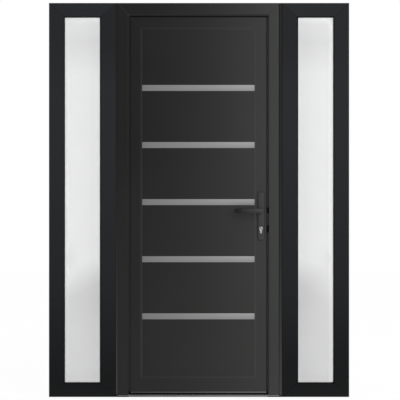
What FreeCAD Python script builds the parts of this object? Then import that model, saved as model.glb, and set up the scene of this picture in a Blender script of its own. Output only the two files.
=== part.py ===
"""Entrance door with a narrow glazed sidelight on each side, as a parametric document.

Millimetres. X runs right across the outside face, Y runs into the building, Z runs up.
The origin is under the middle of the whole unit, on the underside of its sill.
"""
import FreeCAD
import Part
import Sketcher
import os
import re

# How many there are
STRIP_COUNT = 5
THRESHOLD_GROOVES = 3

# Driving sizes: alias, millimetres, what it is
SIZES = [
    ("height", 2032, "whole unit, floor to the top of the head"),
    ("frame_depth", 70, "frame bars, outside face to inside face"),
    ("sidelight_width", 345, "one sidelight frame"),
    ("door_frame_width", 831, "door frame, jamb to jamb outside"),
    ("hinge_coupling", 10, "strip between the hinge side sidelight and the door frame"),
    ("lock_coupling", 17, "strip between the lock side sidelight and the door frame"),
    ("coupling_setback", 5, "strip body behind the outside face"),
    ("coupling_groove", 2.5, "shadow groove each side of a strip's bead"),
    ("coupling_bead", 4, "how far the bead stands off the strip body"),
    ("edge", 1.5, "small chamfer along a bar's outside corners"),
    ("weld_groove", 0.8, "chamfer that leaves a fine groove along each mitre"),
    ("side_stile", 77, "sidelight upright, seen width"),
    ("side_rail", 70, "sidelight cross bar, seen height"),
    ("side_bevel", 3, "chamfer towards the glass"),
    ("side_lip", 15, "thickness of the outside glazing lip"),
    ("side_rebate", 20, "depth of the glazing rebate behind the lip"),
    ("gasket", 3, "thickness of the glazing gasket"),
    ("gasket_width", 12, "breadth of a glazing gasket"),
    ("gasket_show", 5, "gasket seen inside the lip"),
    ("glass_pane", 4, "one pane"),
    ("glass_cavity", 16, "gap between the two panes"),
    ("glass_play", 5, "packing between the glass unit and the rebate"),
    ("spacer_width", 11, "breadth of the spacer round the glass unit"),
    ("bead_slope", 8, "how far a glazing bead falls back over its depth"),
    ("jamb_face", 57, "door jamb, seen width"),
    ("head_face", 65, "door head, seen height"),
    ("jamb_bevel", 7, "bevel on the jamb towards the leaf"),
    ("jamb_lip", 22, "thickness of the stop lip in front of the leaf"),
    ("lip_cover", 17, "how far the stop lip covers the leaf's flange"),
    ("stop_seal_width", 8, "breadth of the seal on the stop lip"),
    ("seal_clearance", 0.3, "seal to the face that it meets"),
    ("threshold_height", 10.5, "aluminium threshold"),
    ("threshold_depth", 85, "threshold, front to back"),
    ("threshold_nose", 3, "chamfer on the threshold's front edge"),
    ("threshold_ramp", 15, "slope on the threshold's back edge"),
    ("threshold_heel", 4, "height of the threshold's back edge"),
    ("groove_width", 4, "groove in the threshold"),
    ("groove_depth", 2, "groove in the threshold"),
    ("groove_pitch", 9, "groove to groove"),
    ("leaf_gap", 8, "gap round the leaf"),
    ("bottom_gap", 16.5, "threshold to the leaf's bars"),
    ("leaf_setback", 13, "leaf face behind the frame face"),
    ("leaf_depth", 72, "leaf, outside face to inside face"),
    ("rebate_gap", 5, "stop lip to the leaf's flange"),
    ("overlap_gap", 5, "frame's inside face to the leaf's overlap"),
    ("overlap_reach", 15, "leaf's overlap beyond its flange"),
    ("leaf_face", 59, "leaf stile and top rail, seen width"),
    ("bottom_rail", 77, "leaf bottom rail, seen height"),
    ("leaf_bevel", 7, "chamfer towards the panel"),
    ("leaf_lip", 8, "thickness of the leaf's outside lip"),
    ("panel_rebate", 16, "depth of the panel rebate"),
    ("panel_play", 4, "packing between the panel and its rebate"),
    ("panel_thickness", 28, "insulated panel"),
    ("panel_bead_setback", 2, "inside beads behind the leaf's inside face"),
    ("strip_height", 31, "one metal strip"),
    ("strip_thickness", 1.5, "one metal strip"),
    ("strip_drop", 305, "top of the panel opening to the first strip's middle"),
    ("strip_rise", 311, "bottom of the panel opening to the last strip's middle"),
    ("strip_play", 0.5, "strip end to the leaf bars"),
    ("drip_height", 8, "light strip under the leaf"),
    ("drip_depth", 12, "light strip under the leaf"),
    ("drop_seal_thickness", 6, "rubber seal under the leaf"),
    ("drop_seal_setback", 20, "rubber seal behind the leaf's outside face"),
    ("drop_seal_clearance", 1, "rubber seal above the threshold"),
    ("backset", 45, "leaf's lock edge to the handle axis"),
    ("handle_height", 961, "handle axis above the floor"),
    ("lock_centres", 92, "handle axis to the lock cylinder's axis"),
    ("plate_width", 30, "handle plate"),
    ("plate_height", 245, "handle plate"),
    ("plate_above", 94, "handle axis to the plate's top"),
    ("plate_thickness", 9, "handle plate"),
    ("plate_corner", 9, "corner radius of a handle plate"),
    ("plate_round", 2, "round on a handle plate's front edge"),
    ("bearing_radius", 8, "lever's bearing in its plate"),
    ("bearing_clearance", 0.08, "radial clearance of that bearing"),
    ("neck_radius", 9, "lever's neck"),
    ("neck_lift", 1, "neck's shoulder off the plate"),
    ("lever_reach", 137, "handle axis to the lever's tip"),
    ("lever_stand", 63, "leaf face to the lever's outermost face"),
    ("lever_bend", 32, "length of the lever that turns back to the door"),
    ("lever_return", 26, "how far its tip turns back"),
    ("grip_height", 24, "lever grip"),
    ("grip_thickness", 13, "lever grip"),
    ("grip_round", 4, "round along the grip"),
    ("bend_radius", 30, "outside of the lever's bend"),
    ("spindle", 8, "square spindle"),
    ("spindle_hole", 11, "radius of its hole through the leaf"),
    ("cylinder_radius", 9.5, "lock cylinder, round part"),
    ("cylinder_height", 36, "lock cylinder"),
    ("cylinder_stem", 12, "lock cylinder's lower part, breadth"),
    ("cylinder_stand", 3, "lock cylinder proud of its plates"),
    ("cylinder_play", 0.3, "lock cylinder in its hole"),
    ("plug_radius", 6.4, "key plug"),
    ("plug_depth", 30, "key plug"),
    ("plug_clearance", 0.1, "key plug in the cylinder"),
    ("keyway_width", 2, "keyway"),
    ("keyway_height", 8, "keyway"),
    ("keyway_depth", 20, "keyway"),
    ("faceplate_width", 20, "lock faceplate on the leaf's edge"),
    ("faceplate_thickness", 3, "lock faceplate"),
    ("faceplate_end", 103, "leaf's top and bottom to the faceplate's ends"),
    ("bolt_thickness", 12, "latch and deadbolt"),
    ("latch_height", 20, "latch"),
    ("deadbolt_height", 32, "deadbolt"),
    ("bolt_length", 22, "latch and deadbolt, drawn back"),
    ("bolt_proud", 1, "drawn bolts beyond the faceplate"),
    ("strike_width", 30, "strike plate"),
    ("strike_height", 190, "strike plate"),
    ("strike_below", 139, "handle axis to the strike plate's lower end"),
    ("strike_thickness", 3, "strike plate"),
    ("strike_play", 4, "strike opening round each bolt"),
    ("strike_pocket", 16, "pocket behind the strike openings"),
    ("notch_depth", 5, "notch in the stop lip beside each bolt"),
    ("hinge_low", 200, "lowest hinge above the floor"),
    ("hinge_middle", 980, "middle hinge above the floor"),
    ("hinge_drop", 239, "leaf's top to the foot of the highest hinge"),
    ("hinge_inset", 23, "frame's outer side to the hinge axis"),
    ("hinge_stand", 25, "frame's inside face to the hinge axis"),
    ("barrel_radius", 9, "hinge knuckle"),
    ("knuckle_height", 45, "hinge knuckle"),
    ("hinge_gap", 1, "knuckle to knuckle"),
    ("pin_radius", 4, "hinge pin"),
    ("pin_clearance", 0.05, "radial clearance of the hinge pin"),
    ("pin_head", 3, "cap on the hinge pin"),
    ("bracket_reach", 3, "frame bracket beyond the hinge axis"),
    ("hinge_plate_length", 46, "leaf plate from the hinge axis"),
    ("hinge_plate_thickness", 3, "leaf plate"),
]

# Places worked out from the sizes: alias, formula
PLACES = [
    ("unit_right", "(2 * sidelight_width + hinge_coupling + lock_coupling + door_frame_width) / 2"),
    ("unit_left", "-unit_right"),
    ("frame_left", "unit_left + sidelight_width + hinge_coupling"),
    ("frame_right", "frame_left + door_frame_width"),
    ("frame_front", "-frame_depth / 2"),
    ("frame_back", "frame_depth / 2"),
    ("head_stretch", "head_face / jamb_face"),
    ("rail_stretch", "side_rail / side_stile"),
    ("side_lip_back", "frame_front + side_lip"),
    ("glass_front", "side_lip_back + gasket"),
    ("cavity_front", "glass_front + glass_pane"),
    ("cavity_back", "cavity_front + glass_cavity"),
    ("glass_back", "cavity_back + glass_pane"),
    ("unit_inset", "side_stile - side_rebate + glass_play"),
    ("unit_rise", "side_rail - side_rebate * rail_stretch + glass_play"),
    ("opening_left", "frame_left + jamb_face"),
    ("opening_right", "frame_right - jamb_face"),
    ("opening_top", "height - head_face"),
    ("lip_back", "frame_front + jamb_lip"),
    ("leaf_left", "opening_left + leaf_gap"),
    ("leaf_right", "opening_right - leaf_gap"),
    ("leaf_top", "opening_top - leaf_gap"),
    ("leaf_bottom", "threshold_height + bottom_gap"),
    ("leaf_front", "frame_front + leaf_setback"),
    ("leaf_back", "leaf_front + leaf_depth"),
    ("flange_front", "lip_back + rebate_gap"),
    ("flange_right", "leaf_right + lip_cover"),
    ("overlap_front", "frame_back + overlap_gap"),
    ("leaf_reach", "overlap_reach + lip_cover"),
    ("leaf_bar", "leaf_reach + leaf_face"),
    ("leaf_lip_back", "leaf_front + leaf_lip"),
    ("panel_front", "leaf_lip_back + gasket"),
    ("panel_back", "panel_front + panel_thickness"),
    ("panel_left", "leaf_left + leaf_face"),
    ("panel_right", "leaf_right - leaf_face"),
    ("panel_bottom", "leaf_bottom + bottom_rail"),
    ("panel_top", "leaf_top - leaf_face"),
    ("strip_pitch", f"(panel_top - panel_bottom - strip_drop - strip_rise) / {STRIP_COUNT - 1}"),
    ("handle_across", "flange_right - backset"),
    ("lock_height", "handle_height - lock_centres"),
    ("faceplate_front", "(flange_front + overlap_front - faceplate_width) / 2"),
    ("faceplate_middle", "faceplate_front + faceplate_width / 2"),
    ("rebate_right", "opening_right + lip_cover"),
    ("hinge_across", "frame_left + hinge_inset"),
    ("hinge_back", "frame_back + hinge_stand"),
    ("hinge_high", "leaf_top - hinge_drop"),
]

doc = FreeCAD.newDocument("door_with_sidelights")
owner = {}


def fill_sheet(sheet_name, rows):
    """Put rows of alias and content into a new sheet, one alias a row."""
    sheet = doc.addObject("Spreadsheet::Sheet", sheet_name)
    for number, row in enumerate(rows, start=1):
        cell = f"A{number}"
        owner[row[0]] = sheet_name
        content = row[1]
        sheet.set(cell, "=" + link(content) if isinstance(content, str) else str(content))
        sheet.setAlias(cell, row[0])
        if len(row) > 2:
            sheet.set(f"B{number}", row[2])
    doc.recompute()
    return sheet


def link(words):
    """Write each alias in an expression with the name of its sheet."""
    return re.sub("[a-z][a-z_]+", lambda found: owner[found.group()] + "." + found.group(), words)


def value(words):
    """The number that an expression of sheet aliases has now."""
    return float(sizes.evalExpression(link(words)))


def bind(thing, **expressions):
    """Tie properties of a thing to expressions of sheet aliases."""
    for name, words in expressions.items():
        thing.setExpression(name, link(words))


def place(thing, spot, axis=None, turn=0):
    """Turn a thing about an axis and tie its place to three expressions."""
    direction = axis or FreeCAD.Vector(0, 0, 1)
    thing.Placement = FreeCAD.Placement(FreeCAD.Vector(), FreeCAD.Rotation(direction, turn))
    for letter, words in zip("xyz", spot):
        thing.setExpression(f"Placement.Base.{letter}", link(words))


def box(name, low, high):
    """A block between two corners, each given as three expressions."""
    block = doc.addObject("Part::Box", name)
    place(block, low)
    spans = [f"({top}) - ({bottom})" for bottom, top in zip(low, high)]
    bind(block, Length=spans[0], Width=spans[1], Height=spans[2])
    return block


def rod(name, radius, length, spot, axis=None, turn=0):
    """A round bar that starts at spot and runs up Z, or along Y when turned about X."""
    bar_stock = doc.addObject("Part::Cylinder", name)
    bind(bar_stock, Radius=radius, Height=length)
    place(bar_stock, spot, axis, turn)
    return bar_stock


def rod_inward(name, radius, length, spot):
    """A round bar that runs from spot towards +Y."""
    return rod(name, radius, length, spot, FreeCAD.Vector(1, 0, 0), -90)


def taper(name, low, high, widen):
    """A block whose far side in Y is wider by the given amount on each side."""
    block = doc.addObject("Part::Wedge", name)
    place(block, ("0", "0", "0"))
    bind(block, Xmin=low[0], Ymin=low[1], Zmin=low[2], Xmax=high[0], Ymax=high[1], Zmax=high[2])
    bind(block, X2min=f"{low[0]} - {widen}", X2max=f"{high[0]} + {widen}")
    bind(block, Z2min=f"{low[2]} - {widen}", Z2max=f"{high[2]} + {widen}")
    return block


def join(name, things):
    """Several solids as one shape."""
    fused = doc.addObject("Part::MultiFuse", name)
    fused.Shapes = things
    return fused


def cut(name, stock, tool):
    """Stock with the tool taken out, checked to remove something."""
    left = doc.addObject("Part::Cut", name)
    left.Base = stock
    left.Tool = tool
    doc.recompute()
    if not left.Shape.Volume < stock.Shape.Volume:
        raise RuntimeError(f"{name}: the cut removed nothing")
    return left


def outline(body, name, role, corners):
    """A closed sketch on an origin plane of its body, each corner tied to two expressions."""
    sketch = body.newObject("Sketcher::SketchObject", name)
    plane = next(item for item in body.Origin.OriginFeatures if item.Role == role)
    sketch.AttachmentSupport = [(plane, "")]
    sketch.MapMode = "FlatFace"
    spots = [FreeCAD.Vector(value(x), value(y), 0) for x, y in corners]
    count = len(spots)
    for number in range(count):
        sketch.addGeometry(Part.LineSegment(spots[number], spots[(number + 1) % count]), False)
    for number in range(count):
        sketch.addConstraint(Sketcher.Constraint("Coincident", number, 2, (number + 1) % count, 1))
    for number, corner in enumerate(corners):
        for kind, words, start in zip(("DistanceX", "DistanceY"), corner, spots[number]):
            title = f"{kind[-1].lower()}{number}"
            item = sketch.addConstraint(Sketcher.Constraint(kind, -1, 1, number, 1, start))
            sketch.renameConstraint(item, title)
            sketch.setExpression(f"Constraints.{title}", link(words))
    return sketch


def new_body(name, spot, turn=0):
    """An empty body at spot, turned about Y."""
    body = doc.addObject("PartDesign::Body", name)
    place(body, spot, FreeCAD.Vector(0, 1, 0), turn)
    return body


def pad(body, profile, length, symmetric=False):
    """Extrude a profile in a body."""
    feature = body.newObject("PartDesign::Pad", f"{body.Name}_pad")
    feature.Profile = profile
    feature.SideType = "Symmetric" if symmetric else "One side"
    bind(feature, Length=length)
    doc.recompute()
    return feature


def pocket(body, profile):
    """Cut a profile right through a body, both ways, checked to remove something."""
    before = body.Shape.Volume
    feature = body.newObject("PartDesign::Pocket", f"{profile.Name}_cut")
    feature.Profile = profile
    feature.SideType = "Symmetric"
    feature.Type = "ThroughAll"
    doc.recompute()
    if not body.Shape.Volume < before:
        raise RuntimeError(f"{profile.Name}: the pocket removed nothing")
    return feature


def fillet(body, base, radius, wanted):
    """Round the edges of a feature that wanted() picks."""
    names = [f"Edge{number}" for number, edge in enumerate(base.Shape.Edges, start=1) if wanted(edge)]
    feature = body.newObject("PartDesign::Fillet", f"{base.Name}_round")
    feature.Base = (base, names)
    bind(feature, Radius=radius)
    doc.recompute()
    return feature


def groove_mitres(body, base, size):
    """Chamfer the outside and inside edges of a bar's mitred ends."""
    levels = (base.Shape.BoundBox.YMin, base.Shape.BoundBox.YMax)
    names = []
    for number, edge in enumerate(base.Shape.Edges, start=1):
        run = edge.tangentAt(edge.FirstParameter)
        slanted = abs(run.x) > 1e-6 and abs(run.z) > 1e-6 and abs(run.y) < 1e-6
        if slanted and min(abs(edge.CenterOfMass.y - level) for level in levels) < 1e-6:
            names.append(f"Edge{number}")
    feature = body.newObject("PartDesign::Chamfer", f"{base.Name}_groove")
    feature.Base = (base, names)
    bind(feature, Size=size)
    doc.recompute()
    return feature


def along(edge, direction):
    """True for a straight edge along a direction."""
    if not isinstance(edge.Curve, (Part.Line, Part.LineSegment)):
        return False
    return edge.tangentAt(edge.FirstParameter).cross(direction).Length < 1e-6


def bar(name, section, length, spot, turn=0, mitre=None, ends=()):
    """A profile bar: its section's x counts from its outer side, and it runs along Z.

    A mitre is (own width, width of the bar that it meets), cut at the ends named.
    """
    body = new_body(name, spot, turn)
    pad(body, outline(body, f"{name}_section", "XY_Plane", section), length)
    for end in ends:
        own, other = mitre
        level = "0" if end == "start" else length
        inward = "+" if end == "start" else "-"
        corners = [("0", level), (f"2 * {own}", level), (f"2 * {own}", f"{level} {inward} 2 * {other}")]
        mitred = pocket(body, outline(body, f"{name}_{end}_mitre", "XZ_Plane", corners))
    if ends:
        groove_mitres(body, mitred, "weld_groove")
    return body


def ring(name, low, high, wall, open_bottom=False):
    """A flat frame of one wall width between two corners, with no bottom bar where it is open."""
    inner_low = (f"{low[0]} + {wall}", low[1], low[2] if open_bottom else f"{low[2]} + {wall}")
    inner_high = (f"{high[0]} - {wall}", high[1], f"{high[2]} - {wall}")
    return cut(name, box(f"{name}_outside", low, high), box(f"{name}_inside", inner_low, inner_high))


def sidelight_section(stretch):
    """Sidelight bar: outside lip with a bevel towards the glass, glazing rebate behind it."""
    return [
        (f"edge * {stretch}", "frame_front"),
        (f"(side_stile - side_bevel) * {stretch}", "frame_front"),
        (f"side_stile * {stretch}", "frame_front + side_bevel"),
        (f"side_stile * {stretch}", "side_lip_back"),
        (f"(side_stile - side_rebate) * {stretch}", "side_lip_back"),
        (f"(side_stile - side_rebate) * {stretch}", "frame_back"),
        (f"edge * {stretch}", "frame_back"),
        ("0", "frame_back - edge"),
        ("0", "frame_front + edge"),
    ]


def door_frame_section(stretch):
    """Door frame bar: bevelled stop lip with the leaf's rebate behind it."""
    return [
        (f"edge * {stretch}", "frame_front"),
        (f"(jamb_face - jamb_bevel) * {stretch}", "frame_front"),
        (f"jamb_face * {stretch}", "frame_front + jamb_bevel"),
        (f"jamb_face * {stretch}", "lip_back"),
        (f"(jamb_face - lip_cover) * {stretch}", "lip_back"),
        (f"(jamb_face - lip_cover) * {stretch}", "frame_back - edge"),
        (f"(jamb_face - lip_cover - edge) * {stretch}", "frame_back"),
        (f"edge * {stretch}", "frame_back"),
        ("0", "frame_back - edge"),
        ("0", "frame_front + edge"),
    ]


def leaf_section():
    """Leaf bar: flange behind the stop lip, inside overlap, panel rebate."""
    return [
        ("leaf_reach + edge", "leaf_front"),
        ("leaf_bar - leaf_bevel", "leaf_front"),
        ("leaf_bar", "leaf_front + leaf_bevel"),
        ("leaf_bar", "leaf_lip_back"),
        ("leaf_bar - panel_rebate", "leaf_lip_back"),
        ("leaf_bar - panel_rebate", "leaf_back"),
        ("edge", "leaf_back"),
        ("0", "leaf_back - edge"),
        ("0", "overlap_front"),
        ("overlap_reach", "overlap_front"),
        ("overlap_reach", "flange_front"),
        ("leaf_reach", "flange_front"),
        ("leaf_reach", "leaf_front + edge"),
    ]


def sidelight(side, left):
    """One sidelight: four mitred bars, a double glass unit, its gasket and its beads."""
    right = f"{left} + sidelight_width"
    upright, cross = ("side_stile", "side_rail"), ("side_rail", "side_stile")
    both = ("start", "end")
    outer_turn, inner_turn = (0, 180) if side == "left" else (180, 0)
    corner = {0: (left, "0", "0"), 180: (right, "0", "height")}
    stile, rail = sidelight_section("1"), sidelight_section("rail_stretch")
    pieces = [
        bar(f"{side}_outer_stile", stile, "height", corner[outer_turn], outer_turn, upright, both),
        bar(f"{side}_inner_stile", stile, "height", corner[inner_turn], inner_turn, upright, both),
        bar(f"{side}_top_rail", rail, "sidelight_width", (left, "0", "height"), 90, cross, both),
        bar(f"{side}_bottom_rail", rail, "sidelight_width", (right, "0", "0"), 270, cross, both),
    ]
    low_x, high_x = f"{left} + unit_inset", f"{right} - unit_inset"
    low_z, high_z = "unit_rise", "height - unit_rise"
    pieces.append(box(f"{side}_outer_pane", (low_x, "glass_front", low_z), (high_x, "cavity_front", high_z)))
    pieces.append(box(f"{side}_inner_pane", (low_x, "cavity_back", low_z), (high_x, "glass_back", high_z)))
    spacer_low, spacer_high = (low_x, "cavity_front", low_z), (high_x, "cavity_back", high_z)
    pieces.append(ring(f"{side}_glass_spacer", spacer_low, spacer_high, "spacer_width"))
    hidden = "gasket_width - gasket_show"
    seal_low = (f"{left} + side_stile - ({hidden})", "side_lip_back", f"side_rail - ({hidden})")
    seal_high = (f"{right} - side_stile + {hidden}", "glass_front", f"height - side_rail + {hidden}")
    pieces.append(ring(f"{side}_glass_gasket", seal_low, seal_high, "gasket_width"))
    rebate_x, rebate_z = "side_stile - side_rebate", "side_rail - side_rebate * rail_stretch"
    stock = box(f"{side}_bead_stock", (f"{left} + {rebate_x}", "glass_back", rebate_z),
                (f"{right} - ({rebate_x})", "frame_back", f"height - ({rebate_z})"))
    sight = taper(f"{side}_bead_sight", (f"{left} + side_stile", "glass_back", "side_rail"),
                  (f"{right} - side_stile", "frame_back", "height - side_rail"), "bead_slope")
    pieces.append(cut(f"{side}_glazing_beads", stock, sight))
    return pieces


def coupling(name, left, width):
    """A strip between two frames, with a rounded bead between two shadow grooves."""
    body_front = "frame_front + coupling_setback"
    bead_front = f"{body_front} - coupling_bead"
    section = [
        ("0", body_front),
        ("coupling_groove", body_front),
        ("coupling_groove", f"{bead_front} + edge"),
        ("coupling_groove + edge", bead_front),
        (f"{width} - coupling_groove - edge", bead_front),
        (f"{width} - coupling_groove", f"{bead_front} + edge"),
        (f"{width} - coupling_groove", body_front),
        (width, body_front),
        (width, "frame_back - coupling_setback"),
        ("0", "frame_back - coupling_setback"),
    ]
    return bar(name, section, "height", (left, "0", "0"))


def threshold():
    """The aluminium threshold under the door frame, with grooves and a sloped back edge."""
    body = new_body("door_threshold", ("frame_left", "0", "0"))
    back = "frame_front + threshold_depth"
    corners = [
        ("frame_front", "0"),
        (back, "0"),
        (back, "threshold_heel"),
        (f"{back} - threshold_ramp", "threshold_height"),
    ]
    for number in reversed(range(THRESHOLD_GROOVES)):
        start = f"flange_front + {number} * groove_pitch"
        corners += [
            (f"{start} + groove_width", "threshold_height"),
            (f"{start} + groove_width", "threshold_height - groove_depth"),
            (start, "threshold_height - groove_depth"),
            (start, "threshold_height"),
        ]
    corners += [
        ("frame_front + threshold_nose", "threshold_height"),
        ("frame_front", "threshold_height - threshold_nose"),
    ]
    pad(body, outline(body, "threshold_section", "YZ_Plane", corners), "door_frame_width")
    return body


def bolt_boxes(name, left, right, grow):
    """The latch and the deadbolt as blocks, grown all round by a named play."""
    reach = f"bolt_thickness / 2 + {grow}"
    blocks = []
    for part_name, level, tall in (("latch", "handle_height", "latch_height"),
                                   ("deadbolt", "lock_height", "deadbolt_height")):
        low = (left, f"faceplate_middle - ({reach})", f"{level} - {tall} / 2 - {grow}")
        high = (right, f"faceplate_middle + {reach}", f"{level} + {tall} / 2 + {grow}")
        blocks.append(box(f"{name}_{part_name}", low, high))
    return blocks


def door_frame():
    """Two jambs and a head, with the lock side's strike plate and the stop seal."""
    jamb, head = door_frame_section("1"), door_frame_section("head_stretch")
    tall = "height - threshold_height"
    upright, cross = ("jamb_face", "head_face"), ("head_face", "jamb_face")
    hinge_jamb = bar("hinge_jamb", jamb, tall, ("frame_left", "0", "threshold_height"), 0, upright, ("end",))
    lock_stock = bar("lock_jamb_stock", jamb, tall, ("frame_right", "0", "height"), 180, upright, ("start",))
    door_head = bar("door_head", head, "door_frame_width", ("frame_left", "0", "height"), 90, cross,
                    ("start", "end"))
    low = ("rebate_right", "faceplate_middle - strike_width / 2", "handle_height - strike_below")
    high = ("rebate_right + strike_thickness", "faceplate_middle + strike_width / 2",
            "handle_height - strike_below + strike_height")
    recess = box("strike_recess", low, high)
    pockets = bolt_boxes("strike_pocket", "rebate_right", "rebate_right + strike_pocket", "strike_play")
    notches = []
    for part_name, level, tall in (("latch", "handle_height", "latch_height"),
                                   ("deadbolt", "lock_height", "deadbolt_height")):
        notch_low = ("opening_right", "frame_front", f"{level} - {tall} / 2 - strike_play")
        notch_high = ("opening_right + notch_depth", "lip_back", f"{level} + {tall} / 2 + strike_play")
        notches.append(box(f"{part_name}_notch", notch_low, notch_high))
    lock_jamb = cut("lock_jamb", lock_stock, join("lock_jamb_cuts", [recess] + pockets + notches))
    openings = bolt_boxes("strike_opening", "rebate_right", "rebate_right + strike_thickness", "strike_play")
    strike = cut("strike_plate", box("strike_stock", low, high), join("strike_openings", openings))
    stop_low = ("opening_left - stop_seal_width", "lip_back", "threshold_height")
    stop_high = ("opening_right + stop_seal_width", "flange_front - seal_clearance",
                 "opening_top + stop_seal_width")
    seal = ring("stop_seal", stop_low, stop_high, "stop_seal_width", open_bottom=True)
    return [hinge_jamb, lock_jamb, door_head, strike, seal]


def cylinder_shape(name, front, length, grow):
    """The lock cylinder's keyhole outline as a solid, grown by a named play."""
    head = rod_inward(f"{name}_head", f"cylinder_radius + {grow}", length,
                      ("handle_across", front, "lock_height"))
    foot_level = "lock_height + cylinder_radius - cylinder_height + cylinder_stem / 2"
    stem = box(f"{name}_stem", (f"handle_across - cylinder_stem / 2 - {grow}", front, foot_level),
               (f"handle_across + cylinder_stem / 2 + {grow}", f"{front} + {length}", "lock_height"))
    foot = rod_inward(f"{name}_foot", f"cylinder_stem / 2 + {grow}", length,
                      ("handle_across", front, foot_level))
    return join(name, [head, stem, foot])


def leaf():
    """The leaf's bars, its insulated panel, metal strips, beads and seals."""
    mitre = ("leaf_bar", "leaf_bar")
    tall = "leaf_top + leaf_reach - leaf_bottom"
    wide = "leaf_right - leaf_left + 2 * leaf_reach"
    left_edge, right_edge = "leaf_left - leaf_reach", "leaf_right + leaf_reach"
    top_edge = "leaf_top + leaf_reach"
    hinge_stile = bar("leaf_hinge_stile", leaf_section(), tall, (left_edge, "0", "leaf_bottom"), 0, mitre,
                      ("end",))
    stock = bar("leaf_lock_stock", leaf_section(), tall, (right_edge, "0", top_edge), 180, mitre, ("start",))
    top_rail = bar("leaf_top_rail", leaf_section(), wide, (left_edge, "0", top_edge), 90, mitre,
                   ("start", "end"))
    spindle_way = rod_inward("spindle_way", "spindle_hole", "leaf_depth",
                             ("handle_across", "leaf_front", "handle_height"))
    cylinder_way = cylinder_shape("cylinder_way", "leaf_front", "leaf_depth", "cylinder_play")
    low = ("flange_right - faceplate_thickness", "faceplate_front", "leaf_bottom + faceplate_end")
    high = ("flange_right", "faceplate_front + faceplate_width", "leaf_top - faceplate_end")
    recess = box("faceplate_recess", low, high)
    bolt_left, bolt_right = "flange_right + bolt_proud - bolt_length", "flange_right + bolt_proud"
    ways = bolt_boxes("bolt_way", bolt_left, bolt_right, "0")
    lock_stile = cut("leaf_lock_stile", stock,
                     join("leaf_lock_cuts", [spindle_way, cylinder_way, recess] + ways))
    faceplate = cut("lock_faceplate", box("faceplate_stock", low, high),
                    join("faceplate_openings", bolt_boxes("faceplate_opening", bolt_left, bolt_right, "0")))
    bolts = join("lock_bolts", bolt_boxes("bolt", bolt_left, bolt_right, "0"))
    return [hinge_stile, lock_stile, top_rail, leaf_bottom_rail([hinge_stile, lock_stile]), faceplate,
            bolts]


def leaf_bottom_rail(stiles):
    """The bottom rail, butted between the stiles and scribed to their lips and bevels."""
    body = new_body("leaf_bottom_rail_stock", ("panel_left - panel_rebate", "0", "0"))
    section = [
        ("leaf_front", "leaf_bottom"),
        ("leaf_back", "leaf_bottom"),
        ("leaf_back", "panel_bottom - panel_rebate"),
        ("leaf_lip_back", "panel_bottom - panel_rebate"),
        ("leaf_lip_back", "panel_bottom"),
        ("leaf_front + leaf_bevel", "panel_bottom"),
        ("leaf_front", "panel_bottom - leaf_bevel"),
    ]
    pad(body, outline(body, "bottom_rail_section", "YZ_Plane", section),
        "panel_right - panel_left + 2 * panel_rebate")
    return cut("leaf_bottom_rail", body, join("bottom_rail_neighbours", stiles))


def strips(name, front, back):
    """Flat metal strips across one face of the panel."""
    blocks = []
    for number in range(STRIP_COUNT):
        middle = f"panel_top - strip_drop - {number} * strip_pitch"
        low = ("panel_left + strip_play", front, f"{middle} - strip_height / 2")
        high = ("panel_right - strip_play", back, f"{middle} + strip_height / 2")
        blocks.append(box(f"{name}_{number + 1}", low, high))
    return join(name, blocks)


def infill():
    """The panel with its strips, gasket and inside beads, and the seals under the leaf."""
    reach = "panel_rebate - panel_play"
    panel = box("door_panel", (f"panel_left - ({reach})", "panel_front", f"panel_bottom - ({reach})"),
                (f"panel_right + {reach}", "panel_back", f"panel_top + {reach}"))
    gasket = ring("panel_gasket",
                  ("panel_left - gasket_width", "leaf_lip_back", "panel_bottom - gasket_width"),
                  ("panel_right + gasket_width", "panel_front", "panel_top + gasket_width"), "gasket_width")
    bead_back = "leaf_back - panel_bead_setback"
    stock = box("panel_bead_stock",
                ("panel_left - panel_rebate", "panel_back", "panel_bottom - panel_rebate"),
                ("panel_right + panel_rebate", bead_back, "panel_top + panel_rebate"))
    sight = taper("panel_bead_sight", ("panel_left", "panel_back", "panel_bottom"),
                  ("panel_right", bead_back, "panel_top"), "bead_slope")
    beads = cut("panel_beads", stock, sight)
    outer = strips("outer_trim_strips", "panel_front - strip_thickness", "panel_front")
    inner = strips("inner_trim_strips", "panel_back", "panel_back + strip_thickness")
    drip = box("leaf_drip_strip", ("leaf_left", "leaf_front + edge", "leaf_bottom - drip_height"),
               ("leaf_right", "leaf_front + edge + drip_depth", "leaf_bottom"))
    seal_front = "leaf_front + drop_seal_setback"
    seal_low = ("leaf_left - lip_cover", seal_front, "threshold_height + drop_seal_clearance")
    seal_high = ("flange_right", f"{seal_front} + drop_seal_thickness", "leaf_bottom")
    seal = box("leaf_drop_seal", seal_low, seal_high)
    return [panel, gasket, beads, outer, inner, drip, seal]


def handle_plate(name, face, outward):
    """A long handle plate with rounded corners, bored for the lever and the lock cylinder."""
    body = new_body(f"{name}_stock", ("handle_across", face, "handle_height"))
    corners = [
        ("-plate_width / 2", "plate_above - plate_height"),
        ("plate_width / 2", "plate_above - plate_height"),
        ("plate_width / 2", "plate_above"),
        ("-plate_width / 2", "plate_above"),
    ]
    slab = pad(body, outline(body, f"{name}_outline", "XZ_Plane", corners), "plate_thickness")
    slab.Reversed = outward > 0
    doc.recompute()
    depth_way = FreeCAD.Vector(0, 1, 0)
    rounded = fillet(body, slab, "plate_corner", lambda edge: along(edge, depth_way))
    front = outward * value("plate_thickness")
    fillet(body, rounded, "plate_round", lambda edge: all(abs(v.Y - front) < 1e-6 for v in edge.Vertexes))
    near = face if outward > 0 else f"{face} - plate_thickness"
    bore = rod_inward(f"{name}_bore", "bearing_radius + bearing_clearance", "plate_thickness",
                      ("handle_across", near, "handle_height"))
    way = cylinder_shape(f"{name}_cylinder_way", near, "plate_thickness", "cylinder_play")
    return cut(name, body, join(f"{name}_ways", [bore, way]))


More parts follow.
